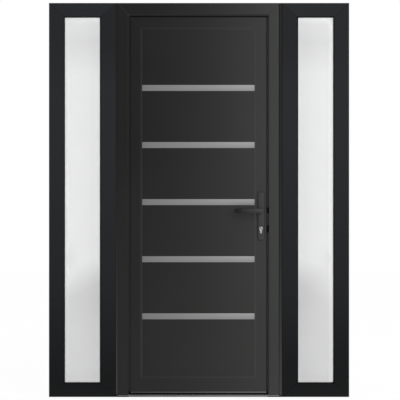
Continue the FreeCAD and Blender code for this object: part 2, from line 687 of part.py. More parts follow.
def lever(name, face, outward):
    """A lever handle: bearing, neck and a flat grip whose tip turns back to the door."""
    sign = "" if outward > 0 else "-"
    body = new_body(f"{name}_grip", ("handle_across", face, "handle_height"))
    outer, inner = f"{sign}lever_stand", f"{sign}(lever_stand - grip_thickness)"
    tip = f"{sign}(lever_stand - lever_return)"
    tip_inner = f"{sign}(lever_stand - lever_return - grip_thickness)"
    corners = [
        ("neck_radius", inner),
        ("neck_radius", outer),
        ("lever_bend - lever_reach", outer),
        ("-lever_reach", tip),
        ("-lever_reach", tip_inner),
        ("lever_bend - lever_reach", inner),
    ]
    grip = pad(body, outline(body, f"{name}_plan", "XY_Plane", corners), "grip_height", symmetric=True)
    up = FreeCAD.Vector(0, 0, 1)

    def at_corner(number):
        spot = FreeCAD.Vector(value(corners[number][0]), value(corners[number][1]), 0)
        return lambda edge: along(edge, up) and edge.CenterOfMass.distanceToPoint(spot) < 1e-3

    feature = fillet(body, grip, "bend_radius", at_corner(2))
    feature = fillet(body, feature, "bend_radius - grip_thickness", at_corner(5))
    for number in (0, 1, 3, 4):
        feature = fillet(body, feature, "grip_round", at_corner(number))
    half = value("grip_height / 2")
    fillet(body, feature, "grip_round", lambda edge: all(abs(abs(v.Z) - half) < 1e-6 for v in edge.Vertexes))
    neck_length = "lever_stand - grip_thickness / 2 - plate_thickness - neck_lift"
    near = f"{face} - lever_stand + grip_thickness / 2"
    if outward > 0:
        near = f"{face} + plate_thickness + neck_lift"
    neck = rod_inward(f"{name}_neck", "neck_radius", neck_length, ("handle_across", near, "handle_height"))
    bearing_length = "plate_thickness + 2 * neck_lift"
    start = face if outward > 0 else f"{face} - ({bearing_length})"
    bearing = rod_inward(f"{name}_bearing", "bearing_radius", bearing_length,
                         ("handle_across", start, "handle_height"))
    return join(name, [body, neck, bearing])


def furniture():
    """Handle plates, levers, spindle, lock cylinder and key plugs."""
    pieces = [
        handle_plate("outer_handle_plate", "leaf_front", -1),
        handle_plate("inner_handle_plate", "leaf_back", 1),
        lever("outer_lever", "leaf_front", -1),
        lever("inner_lever", "leaf_back", 1),
    ]
    pieces.append(box("handle_spindle",
                      ("handle_across - spindle / 2", "leaf_front", "handle_height - spindle / 2"),
                      ("handle_across + spindle / 2", "leaf_back", "handle_height + spindle / 2")))
    front = "leaf_front - plate_thickness - cylinder_stand"
    length = "leaf_depth + 2 * (plate_thickness + cylinder_stand)"
    far = f"{front} + {length}"
    stock = cylinder_shape("cylinder_stock", front, length, "0")
    bores, plugs, slots = [], [], []
    for side, start, slot_start in (("front", front, front),
                                    ("back", f"{far} - plug_depth", f"{far} - keyway_depth")):
        spot = ("handle_across", start, "lock_height")
        bores.append(rod_inward(f"{side}_plug_bore", "plug_radius + plug_clearance", "plug_depth", spot))
        plugs.append(rod_inward(f"{side}_plug", "plug_radius", "plug_depth", spot))
        slots.append(box(f"{side}_keyway",
                         ("handle_across - keyway_width / 2", slot_start, "lock_height - keyway_height / 2"),
                         ("handle_across + keyway_width / 2", f"{slot_start} + keyway_depth",
                          "lock_height + keyway_height / 2")))
    pieces.append(cut("lock_cylinder", stock, join("plug_bores", bores)))
    pieces.append(cut("key_plugs", join("plug_stock", plugs), join("keyways", slots)))
    return pieces


def hinges():
    """Three pin hinges: brackets with pins on the frame, knuckles with plates on the leaf."""
    frame_halves, leaf_halves = [], []
    for level in ("hinge_low", "hinge_middle", "hinge_high"):
        spot = ("hinge_across", "hinge_back", level)
        upper = f"{level} + knuckle_height + hinge_gap"
        above = f"{upper} + knuckle_height + hinge_gap"
        bracket = box(f"{level}_bracket", ("hinge_across - barrel_radius", "frame_back", level),
                      ("hinge_across + bracket_reach", "hinge_back", f"{level} + knuckle_height"))
        knuckle = rod(f"{level}_frame_knuckle", "barrel_radius", "knuckle_height", spot)
        pin = rod(f"{level}_pin", "pin_radius", "2 * (knuckle_height + hinge_gap) + pin_head", spot)
        cap = rod(f"{level}_cap", "barrel_radius", "pin_head", ("hinge_across", "hinge_back", above))
        frame_halves.append(join(f"{level}_frame_half", [bracket, knuckle, pin, cap]))
        plate = box(f"{level}_leaf_plate", ("hinge_across", "leaf_back", upper),
                    ("hinge_across + hinge_plate_length", "leaf_back + hinge_plate_thickness",
                     f"{upper} + knuckle_height"))
        barrel = rod(f"{level}_leaf_knuckle", "barrel_radius", "knuckle_height",
                     ("hinge_across", "hinge_back", upper))
        bore = rod(f"{level}_bore", "pin_radius + pin_clearance", "knuckle_height",
                   ("hinge_across", "hinge_back", upper))
        leaf_halves.append(cut(f"{level}_leaf_half", join(f"{level}_leaf_stock", [plate, barrel]), bore))
    return [join("hinge_frame_halves", frame_halves), join("hinge_leaf_halves", leaf_halves)]


def check_and_write(pieces):
    """Stop on a failed feature or a bad solid, then write each piece to its own file."""
    doc.recompute()
    for item in doc.Objects:
        if "Invalid" in item.State or "Error" in item.State:
            raise RuntimeError(f"{item.Label}: {item.State}")
    os.makedirs("parts", exist_ok=True)
    for piece in pieces:
        shape = piece.Shape
        if shape.isNull() or not shape.isValid() or not shape.Solids:
            raise RuntimeError(f"{piece.Label}: no valid solid")
        shape.exportStep(f"parts/{piece.Label}.step")
    print(f"{len(pieces)} pieces written")


sizes = fill_sheet("Sizes", SIZES)
fill_sheet("Places", PLACES)
everything = sidelight("left", "unit_left") + sidelight("right", "(unit_right - sidelight_width)")
everything.append(coupling("hinge_side_coupling", "frame_left - hinge_coupling", "hinge_coupling"))
everything.append(coupling("lock_side_coupling", "frame_right", "lock_coupling"))
everything.append(threshold())
everything += door_frame() + leaf() + infill() + furniture() + hinges()
check_and_write(everything)
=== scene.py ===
# %% [markdown]
# # A black entrance door between two frosted sidelights
# The measured solids of the door arrive as a fixed frame. This lesson dresses them: it gives
# every surface a finish, and models the small pieces that a catalogue picture of such a door
# shows. The frame's own box is kept at once.

# %% Load the frame
import bpy
import bmesh
import math
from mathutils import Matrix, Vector


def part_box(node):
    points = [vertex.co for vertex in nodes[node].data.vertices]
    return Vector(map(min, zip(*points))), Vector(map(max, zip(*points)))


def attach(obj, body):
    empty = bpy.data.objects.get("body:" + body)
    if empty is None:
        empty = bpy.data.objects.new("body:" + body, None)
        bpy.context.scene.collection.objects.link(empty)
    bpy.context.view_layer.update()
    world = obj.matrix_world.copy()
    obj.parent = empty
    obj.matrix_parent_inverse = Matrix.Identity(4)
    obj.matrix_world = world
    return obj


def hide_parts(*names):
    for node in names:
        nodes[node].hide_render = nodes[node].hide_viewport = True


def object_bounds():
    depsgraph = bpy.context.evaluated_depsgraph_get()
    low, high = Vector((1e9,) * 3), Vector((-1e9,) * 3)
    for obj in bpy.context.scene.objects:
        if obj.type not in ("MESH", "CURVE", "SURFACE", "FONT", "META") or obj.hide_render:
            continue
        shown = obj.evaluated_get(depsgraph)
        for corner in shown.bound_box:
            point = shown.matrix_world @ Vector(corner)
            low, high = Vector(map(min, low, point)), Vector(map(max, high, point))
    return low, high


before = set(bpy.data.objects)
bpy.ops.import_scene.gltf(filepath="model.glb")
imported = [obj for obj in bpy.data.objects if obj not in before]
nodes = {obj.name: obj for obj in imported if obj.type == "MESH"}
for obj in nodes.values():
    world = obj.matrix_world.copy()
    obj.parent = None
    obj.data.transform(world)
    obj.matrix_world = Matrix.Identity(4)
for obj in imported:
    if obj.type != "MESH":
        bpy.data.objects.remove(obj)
cad_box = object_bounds()
print("nodes", len(nodes), "box", [list(corner) for corner in cad_box])

# %% [markdown]
# ## The camera
# The picture was taken square on, so a long lens far away keeps the verticals upright and the
# bars equally wide at both sides. The picture is 400 pixels wide and a pixel is 5.157 mm on the
# face of the frame, which gives the distance for a lens of 200 mm.

# %% Camera
PICTURE_SIZE = 400
PIXEL = 0.005157
PICTURE_MIDDLE_X = 199.05
FLOOR_ROW = 397.0
LENS = 200.0
SENSOR = 36.0

front_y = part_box("left_outer_stile")[0].y
view_width = PICTURE_SIZE * PIXEL
camera_data = bpy.data.cameras.new("camera")
camera_data.lens = LENS
camera_data.sensor_width = SENSOR
camera = bpy.data.objects.new("camera", camera_data)
bpy.context.collection.objects.link(camera)
camera.location = (
    (PICTURE_SIZE / 2 - PICTURE_MIDDLE_X) * PIXEL,
    front_y - view_width * LENS / SENSOR,
    (FLOOR_ROW - PICTURE_SIZE / 2) * PIXEL,
)
camera.rotation_euler = (math.radians(90), 0, 0)
bpy.context.scene.camera = camera
print("camera", tuple(round(part, 3) for part in camera.location))

# %% [markdown]
# ## Writing shader sums as Python
# A finish is a sum of masks, ramps and noises. One small class holds a socket and answers to
# the arithmetic signs, so that a formula reads as a formula. Four kinds of soft mask come back
# in every finish, so they are named here too.

# %% Sockets that calculate


class Wire:
    """An output socket that can stand in a Python expression."""

    def __init__(self, shading, socket):
        self.shading, self.socket = shading, socket

    def maths(self, operation, *others):
        values = dict(enumerate((self,) + others))
        return self.shading.node("ShaderNodeMath", {"operation": operation}, values)

    def __add__(self, other):
        return self.maths("ADD", other)

    def __sub__(self, other):
        return self.maths("SUBTRACT", other)

    def __mul__(self, other):
        return self.maths("MULTIPLY", other)

    def __truediv__(self, other):
        return self.maths("DIVIDE", other)

    def __rsub__(self, other):
        return (self * -1.0).maths("ADD", other)

    def __abs__(self):
        return self.maths("ABSOLUTE")

    __radd__ = __add__
    __rmul__ = __mul__

    def clamped(self):
        return self.maths("MAXIMUM", 0.0).maths("MINIMUM", 1.0)

    def below(self, limit, soft):
        """1 well under the limit, 0 well over it, with a soft step between."""
        return ((limit - self) / soft + 0.5).clamped()

    def rising(self, start, reach):
        """0 up to the start, then rising to 1 over the reach."""
        return ((self - start) / reach).clamped()

    def falling(self, end, reach):
        """1 until a reach before the end, then falling to 0 at the end."""
        return ((end - self) / reach).clamped()

    def hump(self, middle, half):
        """1 at the middle, 0 beyond half a width on either side."""
        return (1.0 - abs(self - middle) / half).clamped()


print("signs ready")

# %% [markdown]
# ## One method for every other node
# What isn't arithmetic comes from `node`, which takes a node's type, its settings and what its
# sockets get. Materials and the sky both build their nodes with it.

# %% Nodes


class Shading:
    """A node tree whose nodes all come from one method."""

    def __init__(self, tree):
        self.tree = tree

    def feed(self, target, value):
        if isinstance(value, Wire):
            self.tree.links.new(value.socket, target)
        else:
            target.default_value = value

    def node(self, kind, settings=None, inputs=None, output=0):
        made = self.tree.nodes.new(kind)
        for key, value in (settings or {}).items():
            setattr(made, key, value)
        for key, value in (inputs or {}).items():
            self.feed(made.inputs[key], value)
        return Wire(self, made.outputs[output])


print("nodes come from one method")

# %% [markdown]
# ## A finish
# A finish is a set of nodes round one Principled shader, with short names for what it needs
# most: the place on the door, the way a surface looks, noise, mixes and bump. What is the same
# all over the surface is given by name when the finish is made.

# %% Finishes


class Finish(Shading):
    """A material with one Principled shader and the nodes that feed it."""

    def __init__(self, name, **constants):
        self.material = bpy.data.materials.new(name)
        self.material.use_nodes = True
        super().__init__(self.material.node_tree)
        self.shader = self.tree.nodes["Principled BSDF"]
        self.set(**constants)
        self.place = self.node("ShaderNodeTexCoord", output="Object")

    def set(self, **wires):
        for socket, value in wires.items():
            self.feed(self.shader.inputs[socket.replace("_", " ")], value)

    def wired(self, socket):
        """What already feeds a socket of the shader."""
        return Wire(self, self.shader.inputs[socket].links[0].from_socket)

    def parts(self, vector):
        split = self.node("ShaderNodeSeparateXYZ", inputs={0: vector})
        return split, *(Wire(self, split.socket.node.outputs[number]) for number in (1, 2))

    def axes(self):
        return self.parts(self.place)

    def facing(self):
        """How far the surface looks right, in and up, each from -1 to 1."""
        return self.parts(self.node("ShaderNodeTexCoord", output="Normal"))

    def noise(self, scale, stretch=(1, 1, 1), detail=2.0):
        scaled = self.node("ShaderNodeMapping", {"vector_type": "POINT"},
                           {"Vector": self.place, "Scale": stretch})
        inputs = {"Vector": scaled, "Scale": scale, "Detail": detail}
        return self.node("ShaderNodeTexNoise", {}, inputs)

    def blend(self, kind, factor, first, second):
        return self.node("ShaderNodeMix", {"data_type": "RGBA", "blend_type": kind},
                         {0: factor, 6: first, 7: second}, 2)

    def mix(self, factor, first, second):
        return self.blend("MIX", factor, first, second)

    def scaled(self, colour, gain):
        """A colour times a number."""
        return self.node("ShaderNodeVectorMath", {"operation": "SCALE"},
                         {0: colour, "Scale": gain})

    def bump(self, height, depth, strength):
        inputs = {"Height": height, "Distance": depth, "Strength": strength}
        self.set(Normal=self.node("ShaderNodeBump", {}, inputs))

    def coat(self, *names):
        """Give the finish to the nodes named."""
        for name in names:
            data = nodes[name].data
            data.materials.clear()
            data.materials.append(self.material)


print("finishes ready")

# %% [markdown]
# Greys are easiest to judge as a screen shows them, from 0 to 255, while a shader wants linear
# light. The curve between the two is the screen's own.

# %% Greys


def grey(level, tint=(1, 1, 1)):
    """The linear colour of a display grey from 0 to 255, with a tint."""
    share = level / 255
    linear = share / 12.92 if share <= 0.04045 else ((share + 0.055) / 1.055) ** 2.4
    return (*(linear * part for part in tint), 1.0)


print("a display grey of 50 is", round(grey(50)[0], 4))

# %% [markdown]
# ## Black foil on the bars
# The bars are extruded plastic covered with a satin black foil. One recipe serves every bar, and
# it takes a shade: a small function of the place on the door, from 0, dark, to 1, light, which
# paints light and shade into the foil's colour. The sidelights get painted shade towards the
# floor, under the lintel and a little on the right. Their top rails are even, with painted light
# at the corner beside the door. The door's own bars get painted light towards the lock side, less
# so low down, and the coupling strips get it near the floor. Heights and places are in metres,
# each with the reach of its soft mask.

# %% Shades over the door
MM = 0.001
height = cad_box[1].z
door_left, door_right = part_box("hinge_jamb")[0].x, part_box("lock_jamb")[1].x
FROM_SHIN, FROM_KNEE, FROM_LINTEL = (0.12, 0.42), (0.5, 0.8), (1.6, 0.2)
BESIDE_DOOR = (0.6, 0.1)
RIGHT_SHADE = 0.14


def up_the_sidelight(x, z):
    """Painted shade: quickly paler up to the knee, palest at the chest, darker under the lintel.
    """
    low = z.rising(*FROM_SHIN) * 0.55 + z.rising(*FROM_KNEE) * 0.45
    top = z.rising(*FROM_LINTEL) * (abs(x).falling(*BESIDE_DOOR) * 0.15 + 0.2)
    return low - top - x.clamped() * RIGHT_SHADE


def along_the_head(x, z):
    """The top rails get painted light, most of all at the corner beside the door."""
    return abs(x).hump(0.5, 0.4) * 0.15 + 0.85 - x.clamped() * RIGHT_SHADE


def across_the_door(x, z):
    """Painted light, paler towards the lock side, and more even near the floor."""
    slide = x.rising(door_left, door_right - door_left)
    low, middle = z.falling(1.25, 1.1), z.hump(1.0, 0.7)
    return slide * slide * (1.0 - low * 0.34) + low * 0.25 + middle * 0.05


def down_the_strip(x, z):
    """Painted light, pale only near the floor."""
    slide = z.falling(height, height)
    return slide * slide * slide * (1.0 - x.clamped() * 0.3)


print("door from", round(door_left, 3), "to", round(door_right, 3))

# %% [markdown]
# ## Seams and rims
# Where two bars are welded at a mitre, a thin seam shows, and a painted highlight runs along it.
# The panel's skin gets a painted highlight where it turns in under the bars, and so does the
# rounded middle of a coupling strip. Such lines could be cut as grooves, but the real ones are
# only tenths of a millimetre deep, so a mask paints their light into the colour. The hinge
# jamb's lip and the lock side strip get painted shade.

# %% Seams and rims
SIGHT = 12 * MM
DOORWAY = 717 * MM
HEAD_FACE = 65 * MM
SEAM_HALF, SEAM_SOFT = 3.4 * MM, 1.5 * MM
LIP = 3.0 * MM


def mitre_seam(x, z, low, high, slope):
    """A painted highlight on the mitres at the top of a frame that fills a box, plain on the hinge
    side, faint on the lock side."""
    across = (high.x - low.x) / 2 - abs(x - (low.x + high.x) / 2)
    return abs((high.z - z) / slope - across).below(SEAM_HALF, SEAM_SOFT) * (0.5 - x).clamped()


def frame_seam(x, z):
    """The door frame's mitres, and a line of painted shade down the lip of its hinge jamb."""
    low, high = Vector((door_left, 0, 0)), Vector((door_right, 0, height))
    jamb_face = (door_right - door_left - DOORWAY) / 2
    seam = mitre_seam(x, z, low, high, HEAD_FACE / jamb_face) * 1.6
    hinge_lip = abs(x - door_left - jamb_face + LIP).below(LIP, SEAM_SOFT)
    return seam - hinge_lip * z.below(height - HEAD_FACE - MM, MM) * 0.9


# A painted highlight on the leaf's mitres.
def leaf_seam(x, z):
    return mitre_seam(x, z, *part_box("leaf_top_rail"), 1.0) * 0.6


def panel_rim(x, z):
    """A painted highlight along the edge of the panel."""
    low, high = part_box("panel_gasket")
    beside = (high.x - low.x) / 2 - SIGHT - abs(x - (low.x + high.x) / 2)
    above = (high.z - low.z) / 2 - SIGHT - abs(z - (low.z + high.z) / 2)
    return beside.maths("MINIMUM", above).below(4.0 * MM, 1.0 * MM) * 1.4


def strip_beads(x, z):
    """Painted highlight on each strip's rounded middle, painted shade all over the lock side
    strip.
    """
    found = 0.0
    for node in ("hinge_side_coupling", "lock_side_coupling"):
        low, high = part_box(node)
        half = (high.x - low.x) / 2
        found = abs(x - low.x - half).below(half - 3 * MM, 1.0 * MM) + found
    lock_side = x.clamped()
    return found * (0.7 - lock_side) - lock_side * 0.6


print("door frame mitres rise", round(HEAD_FACE, 3), "m")

# %% [markdown]
# ## The ledge in the gap
# The leaf's bars lap over the frame's, and deep in the gap between them lies a narrow ledge of
# foil. A mask finds it by its depth and paints light on it on both sides, painted shade over the
# leaf and painted shadow where the latch and the bolt stand.

# %% Ledge in the gap
sight_left, sight_right = (corner.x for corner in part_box("leaf_drip_strip"))
sight_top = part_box("leaf_top_rail")[1].z - 32 * MM
ledge_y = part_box("leaf_hinge_stile")[0].y + 14 * MM
LATCH, BOLT = (963 * MM, 16 * MM), (867 * MM, 18 * MM)
GAP_SHADE = 0.9


def gap_ledge(x, y, z):
    """Painted light on the ledge in the gap round the leaf, or painted shade where negative."""
    beyond = 1.0 - x.below(sight_right, MM)
    # Painted shadow where the latch and the bolt stand.
    lock = sum(abs(z - level).below(half, 6 * MM) for level, half in (LATCH, BOLT)) * beyond
    hinge_gap = x.below(sight_left, MM) * 2.4
    lock_gap = x.rising(sight_right + 5.6 * MM, 4 * MM) * 7.0 * (1.0 - lock)
    over_leaf = (1.0 - z.below(sight_top, MM)) * (x + 0.25).clamped()
    on_ledge = abs(y - ledge_y).below(1.0 * MM, 0.5 * MM)
    return on_ledge * (hinge_gap + lock_gap - over_leaf * GAP_SHADE - lock * GAP_SHADE)


print("the leaf shows from", round(sight_left, 3), "to", round(sight_right, 3))

# %% [markdown]
# ## The foil itself
# The foil has a fine pebble and soft broad clouds. Every slanted edge gets a painted highlight,
# which draws the thin light line round the leaf and its panel. Slanted faces are found by their
# normal, and those that look to either side get the most painted light. Near the floor lies some
# dust.

# %% Foil recipe
SLANT = 0.707
SEAM_GAIN = 0.5
EVEN_LEVEL = 0.27
SPLASH = 50 * MM
DUST = 0.35
BLACK = (0, 0, 0, 1)


def foil(name, dark, light, shade_of, roughness=0.42, painted_edge_light=0.0, painted_side_light=0.0, seam_of=None,
         evening=0.0):
    """Satin foil whose painted shade runs from dark to light as shade_of(x, z) runs from 0 to 1.
    """
    finish = Finish(name, IOR=1.46, Specular_IOR_Level=0.1)
    x, y, z = finish.axes()
    right, inward, _ = finish.facing()
    cloud = finish.noise(scale=4.0)
    pebble = finish.noise(scale=1300.0)
    worn = finish.noise(scale=60.0, detail=4.0)
    slanted = abs(inward).hump(SLANT, 0.12)
    level = shade_of(x, z)
    level = level + (EVEN_LEVEL - level) * slanted * evening + (cloud - 0.5) * 0.1
    shade = finish.mix(level.clamped(), dark, light)
    dust = finish.mix(z.falling(SPLASH, SPLASH) * worn, BLACK, grey(26, (1.05, 1, 0.92)))
    # Painted highlights on slanted edges, seams and rims, and painted light and shade in the gap.
    gain = 1.0 + (pebble - 0.5) * 0.14 + slanted * (painted_edge_light + abs(right) * painted_side_light)
    gain = gain + gap_ledge(x, y, z)
    if seam_of:
        gain = gain + seam_of(x, z) * SEAM_GAIN
    finish.set(
        Base_Color=finish.blend("ADD", DUST, finish.scaled(shade, gain), dust),
        Roughness=roughness + (worn - 0.5) * 0.12 + slanted * 0.05,
    )
    finish.bump(pebble, depth=0.08 * MM, strength=0.6)
    return finish


print("foil recipe ready")

# %% [markdown]
# The sidelights' foil is cooler and blacker than the door's. The leaf's slanted edges get the
# strongest painted highlight, and the frame's keep less of the painted light and shade, so their
# grey is more even.

# %% Foil on the bars
COOL = (0.91, 1.0, 1.14)
WARM = (1.0, 1.0, 0.99)

side_bars = [f"{side}_{bar}" for side in ("left", "right")
             for bar in ("outer_stile", "inner_stile", "bottom_rail", "glazing_beads")]
side_dark, side_pale = grey(13, COOL), grey(34, COOL)
door_dark, door_pale = grey(23, WARM), grey(58, WARM)
foiled = (
    (foil("sidelight_foil", side_dark, side_pale, up_the_sidelight, painted_edge_light=0.12), side_bars),
    (foil("sidelight_head_foil", side_dark, side_pale, along_the_head, painted_edge_light=0.12),
     ["left_top_rail", "right_top_rail"]),
    (foil("frame_foil", door_dark, door_pale, across_the_door, painted_edge_light=0.35, painted_side_light=0.1,
          seam_of=frame_seam, evening=0.9), ["hinge_jamb", "lock_jamb", "door_head"]),
    (foil("leaf_foil", door_dark, door_pale, across_the_door, painted_edge_light=0.9, painted_side_light=0.4,
          seam_of=leaf_seam, evening=0.3),
     ["leaf_hinge_stile", "leaf_lock_stile", "leaf_top_rail", "leaf_bottom_rail", "panel_beads"]),
    (foil("panel_skin", grey(24, WARM), door_pale, across_the_door, roughness=0.36,
          seam_of=panel_rim), ["door_panel"]),
    (foil("coupling_black", grey(28, WARM), grey(62, WARM), down_the_strip, roughness=0.4,
          painted_edge_light=0.3, painted_side_light=0.3, seam_of=strip_beads),
     ["hinge_side_coupling", "lock_side_coupling"]),
)
for finish, names in foiled:
    finish.coat(*names)
print("foil on", sum(len(names) for _, names in foiled), "nodes")

# %% [markdown]
# ## Metal strips, threshold and fittings
# A brushed strip shows hair lines along its length, so its noise is stretched a hundred times
# in X. The same recipe, with other greys and directions, serves the threshold, the hinges and
# the lock.

# %% Metal finishes


def brushed(name, dark, light, roughness, stretch, metallic=1.0):
    """Metal with hair lines, and painted light, a little brighter from left to right."""
    finish = Finish(name, Metallic=metallic)
    slide = finish.axes()[0].rising(door_left, door_right - door_left)
    lines = finish.noise(900.0, stretch, detail=3.0)
    smear = finish.noise(scale=9.0)
    level = slide + (lines - 0.5) * 0.5 + (smear - 0.5) * 0.15
    finish.set(Base_Color=finish.mix(level.clamped(), dark, light),
               Roughness=roughness + (lines - 0.5) * 0.25)
    finish.bump(lines, depth=0.05 * MM, strength=0.5)
    return finish


ALONG_X = (0.01, 1, 1)
ALONG_Z = (1, 1, 0.01)
strip_metal = brushed("satin_strip", grey(108), grey(135), 0.5, ALONG_X, metallic=0.3)
strip_metal.coat("outer_trim_strips", "inner_trim_strips")
drip_metal = brushed("drip_aluminium", grey(52), grey(84), 0.45, ALONG_X, metallic=0.5)
drip_metal.coat("leaf_drip_strip")
steel = brushed("satin_steel", grey(150), grey(175), 0.35, ALONG_Z)
steel.coat("hinge_frame_halves", "hinge_leaf_halves", "strike_plate", "lock_faceplate",
           "lock_bolts", "handle_spindle")
nickel = brushed("satin_nickel", grey(122), grey(142), 0.35, ALONG_Z)
nickel.coat("lock_cylinder", "key_plugs")
spacer_metal = brushed("spacer_metal", grey(120), grey(140), 0.5, ALONG_Z, metallic=0.5)
spacer_metal.coat("left_glass_spacer", "right_glass_spacer")
print("metal done")

# %% [markdown]
# The threshold is two aluminium rails with a black plastic break between them, which keeps the
# cold out. The break is a band of another colour, gloss and metalness, picked by how deep it
# lies. The tread is stained where feet pass, and is brighter under the jambs.

# %% Threshold finish
BREAK_MIDDLE, BREAK_HALF = 2 * MM, 6 * MM
TREAD_HALF = 358 * MM
METALNESS = 0.6

threshold_metal = brushed("threshold_aluminium", grey(94), grey(116), 0.45, ALONG_X, METALNESS)
x, y, _ = threshold_metal.axes()
in_break = abs(y - BREAK_MIDDLE).below(BREAK_HALF, 0.6 * MM)
stained = threshold_metal.noise(30.0, (0.3, 1, 1), detail=4.0).below(0.45, 0.2)
trodden = threshold_metal.mix(stained * 0.25, threshold_metal.wired("Base Color"), grey(70))
# Brighter under the jambs than on the tread.
brighter_under_jambs = (1.0 - abs(x).below(TREAD_HALF, 4 * MM)) * 0.4 + 1.0
trodden = threshold_metal.scaled(trodden, brighter_under_jambs)
threshold_metal.set(
    Base_Color=threshold_metal.mix(in_break, trodden, grey(26)),
    Roughness=threshold_metal.wired("Roughness") + in_break * 0.2 + stained * 0.1,
    Metallic=METALNESS - in_break * METALNESS,
)
threshold_metal.coat("door_threshold")
print("threshold break", 2 * BREAK_HALF, "m wide")

# %% [markdown]
# The fittings are powder coated black. Powder melts to an even film with the shallow dimples of
# orange peel. On a lever the tip, which turns away from the light, gets painted shade and is
# darker than the hub. A plate gets painted light towards its right and on the faces that look
# right, and painted shade on those that look left. Rubber and plastic use the same recipe, duller.

# %% Black finishes


def powder(name, dark, light, roughness, low=0.0, high=1.0, shine=0.15, painted_side_light=0.0):
    """An even film with orange peel and painted shade from dark to light
    between two places in X.
    """
    finish = Finish(name, Specular_IOR_Level=shine)
    x, right = finish.axes()[0], finish.facing()[0]
    peel = finish.noise(scale=700.0, detail=1.0)
    broad = finish.noise(scale=40.0, detail=3.0)
    slide = ((x - low) / (high - low) + (broad - 0.5) * 0.15).clamped()
    finish.set(Base_Color=finish.scaled(finish.mix(slide, dark, light), 1.0 + right * painted_side_light),
               Roughness=roughness + (peel - 0.5) * 0.15 + (broad - 0.5) * 0.1)
    finish.bump(peel, depth=0.1 * MM, strength=0.5)
    return finish


lever_low, lever_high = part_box("outer_lever")
# Painted shade darkens the lever from its hub towards its tip.
lever_black = powder("lever_black", grey(12), grey(60), 0.36, lever_low.x, lever_high.x)
lever_black.coat("outer_lever", "inner_lever")
# Painted light on the plate's right part and on faces that look right, painted shade on faces that
# look left.
plate_black = powder("plate_black", grey(48), grey(58), 0.4, lever_high.x - 24 * MM, lever_high.x,
                     painted_side_light=0.6)
plate_black.coat("outer_handle_plate", "inner_handle_plate")
rubber = powder("black_rubber", grey(3), grey(6), 0.8, shine=0.05)
rubber.coat("stop_seal", "panel_gasket", "leaf_drop_seal", "left_glass_gasket",
            "right_glass_gasket")
plastic = powder("foot_plastic", grey(22), grey(26), 0.55)
# Painted light makes the covers paler towards the lock side.
cover_plastic = powder("cover_plastic", grey(14), grey(30), 0.55, door_left, door_right)
print("black finishes done")

# %% [markdown]
# ## Glass
# The outside pane is etched, so what stands behind it blurs to a pale cloud. The cloud is
# painted into the pane's colour: painted shade makes it greyer low down, where the pane shows the
# floor, under the lintel and at knee and hip height, and painted light makes it paler on the side
# away from the door. A rim as wide as a thumb gets painted light, because the bars round it keep
# light off the pane.

# %% Glass finishes
PANE_MIDDLE = 0.6
PANE_IN, PANE_OUT = 0.512, 0.691
PANE_FOOT, PANE_TOP = 0.076, 1.956
RIM = 28 * MM
FLOOR_LINE = (0.54, 0.16)
UNDER_LINTEL, AT_KNEE, AT_HIP = (1.83, 0.17), (0.5, 0.2), (0.715, 0.09)


def rim_gain(x, z):
    """How much painted light brightens the edges of a pane."""
    outer = abs(x).rising(PANE_OUT - RIM, RIM) * (0.11 + x.clamped() * 0.15)
    inner = abs(x).falling(PANE_IN + RIM, RIM) * 0.1
    top = z.rising(PANE_TOP - RIM, RIM) * 0.16
    return outer + inner + top + z.falling(PANE_FOOT + RIM, RIM) * 0.12


def frosted(name):
    finish = Finish(name, IOR=1.5, Transmission_Weight=0.4, Roughness=0.4)
    x, _, z = finish.axes()
    cloud = finish.noise(2.2, (1, 1, 0.8), detail=3.0)
    # Painted shade low down, under the lintel and at knee and hip; painted light away from the
    # door.
    outward = (abs(x) - PANE_MIDDLE) / 0.09
    leaning = z + outward * 0.05 + x.clamped() * 0.035 + (cloud - 0.5) * 0.3
    level = leaning.rising(*FLOOR_LINE)
    lintel = z.hump(*UNDER_LINTEL) * 0.125
    knee = z.hump(*AT_KNEE) * (0.03 - outward * 0.045)
    hip = z.hump(*AT_HIP) * (outward - 0.2).clamped() * 0.14
    gain = 0.99 + outward * (0.05 - level * 0.01) - lintel - knee - hip - x * 0.02
    gain = (gain + rim_gain(x, z)).maths("MINIMUM", 1.225 - level * 0.15)
    finish.set(Base_Color=finish.scaled(finish.mix(level, grey(226), grey(247)), gain))
    finish.bump(finish.noise(scale=1600.0), depth=0.05 * MM, strength=0.4)
    return finish


frosted("frosted_glass").coat("left_outer_pane", "right_outer_pane")
clear = Finish("clear_glass", IOR=1.5, Transmission_Weight=1.0, Roughness=0.02)
smudge = clear.noise(scale=12.0, detail=3.0)
clear.set(Base_Color=clear.mix(smudge, (0.94, 0.97, 0.96, 1), (0.97, 0.99, 0.98, 1)))
clear.coat("left_inner_pane", "right_inner_pane")
print("glass from", PANE_FOOT, "to", PANE_TOP, "m")

# %% [markdown]
# ## Starting a piece
# Each piece starts as a block, a cylinder or a plane in its place on the door. Its place goes
# into its mesh at once, so the finished piece sits at the origin, and edit mode is left open
# for shaping.

# %% Blocks and discs
QUARTER = math.radians(90)


def focus(*things):
    """Leave edit mode and select only these things, the first one active."""
    if bpy.context.object and bpy.context.object.mode != "OBJECT":
        bpy.ops.object.mode_set(mode="OBJECT")
    bpy.ops.object.select_all(action="DESELECT")
    for thing in things:
        thing.select_set(True)
    if things:
        bpy.context.view_layer.objects.active = things[0]


def started(name):
    """Name the new primitive, put its place into its mesh and open it in edit mode."""
    piece = bpy.context.object
    piece.name = name
    bpy.ops.object.transform_apply(location=True, rotation=True, scale=True)
    bpy.ops.object.mode_set(mode="EDIT")
    return piece


def block(name, low, high):
    focus()
    middle = [(a + b) / 2 for a, b in zip(low, high)]
    size = [b - a for a, b in zip(low, high)]
    bpy.ops.mesh.primitive_cube_add(size=1, location=middle, scale=size)
    return started(name)


